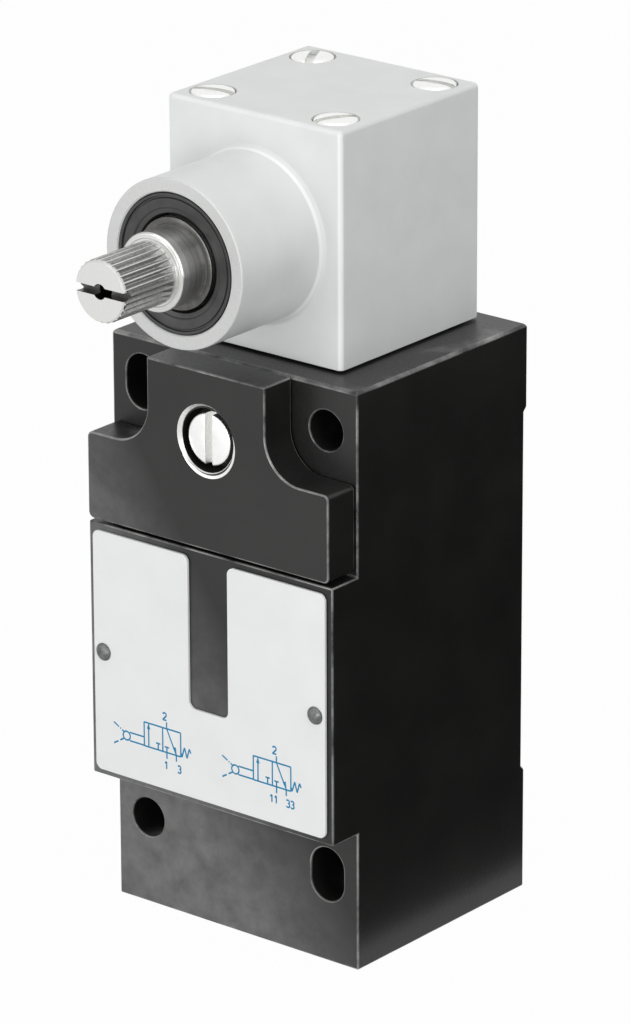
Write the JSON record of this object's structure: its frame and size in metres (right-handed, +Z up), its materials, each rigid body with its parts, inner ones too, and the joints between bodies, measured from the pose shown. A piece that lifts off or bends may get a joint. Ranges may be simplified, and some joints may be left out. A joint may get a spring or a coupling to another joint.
{
  "type": "pneumatic limit valve",
  "caption": "Rotary-head pneumatic limit valve without a lever: slotted-hole body, square head, sealed serrated shaft, cam, plunger and spool",
  "frame": {"origin": "centre of the body's underside, which is the face with the ports", "axes": "+X to the right seen from the front, +Y from the shaft end towards the mounting pads at the back, +Z up from the underside to the head"},
  "size_m": [0.04, 0.0597, 0.1097],
  "materials": {
    "black_paint": "black satin paint on die-cast metal, edges worn bright",
    "grey_paint": "light grey satin paint on die-cast metal",
    "white_aluminium": "thin aluminium plate printed white",
    "zinc_plated_steel": "bright zinc plate",
    "machined_steel": "turned and polished",
    "hardened_steel": "hardened, dark grey",
    "spring_steel": "drawn wire",
    "nitrile_rubber": "moulded, matt black",
    "bronze": "sintered bronze, oiled",
    "turned_brass": "turned brass"
  },
  "bodies": {
    "housing": {"valve_body": "black_paint", "front_cover": "black_paint", "cover_gasket": "nitrile_rubber", "cover_screw": "zinc_plated_steel", "nameplate": "white_aluminium", "nameplate_rivet_left": "zinc_plated_steel", "nameplate_rivet_right": "zinc_plated_steel", "head_housing": "grey_paint", "head_gasket": "nitrile_rubber", "head_screw_front_left": "zinc_plated_steel", "head_screw_front_right": "zinc_plated_steel", "head_screw_rear_left": "zinc_plated_steel", "head_screw_rear_right": "zinc_plated_steel", "shaft_seal": "nitrile_rubber", "front_bush": "bronze", "rear_bush": "bronze", "shaft_return_spring": "spring_steel", "plunger_guide": "turned_brass", "plunger_seal": "nitrile_rubber", "plunger_spring": "spring_steel", "spool_sleeve": "turned_brass", "sleeve_o_ring_1": "nitrile_rubber", "sleeve_o_ring_2": "nitrile_rubber", "sleeve_o_ring_3": "nitrile_rubber", "sleeve_o_ring_4": "nitrile_rubber", "spool_spring": "spring_steel"},
    "cam": {"cam": "hardened_steel"},
    "shaft": {"lever_shaft": "machined_steel", "drive_pin": "hardened_steel", "retaining_ring": "spring_steel"},
    "plunger": {"plunger": "hardened_steel"},
    "spool": {"spool": "machined_steel"}
  },
  "joints": [
    {"name": "cam_turn", "type": "hinge", "parent": "housing", "child": "cam", "pos_m": [0, 0.00095, 0.0935], "axis": [0, -1, 0], "range_deg": [0, 40], "stiffness_Nm_per_rad": 0.0006, "springref_deg": -28.65},
    {"name": "shaft_idle", "type": "hinge", "parent": "cam", "child": "shaft", "pos_m": [0, 0.00095, 0.0935], "axis": [0, -1, 0], "range_deg": [-40, 0], "stiffness_Nm_per_rad": 0.0006, "springref_deg": 28.65},
    {"name": "plunger_stroke", "type": "slide", "parent": "housing", "child": "plunger", "axis": [0, 0, -1], "range_m": [0, 0.0024], "stiffness_N_per_m": 60, "springref_m": -0.0025, "deforming": ["plunger_spring"]},
    {"name": "spool_stroke", "type": "slide", "parent": "housing", "child": "spool", "axis": [0, 0, -1], "range_m": [0, 0.0024], "stiffness_N_per_m": 40, "springref_m": -0.0025, "deforming": ["spool_spring"]}
  ],
  "couplings": [
    {"joint": "cam_turn", "follows": "plunger_stroke", "rad_per_m": 290.89},
    {"joint": "spool_stroke", "follows": "plunger_stroke", "ratio": 1}
  ]
}
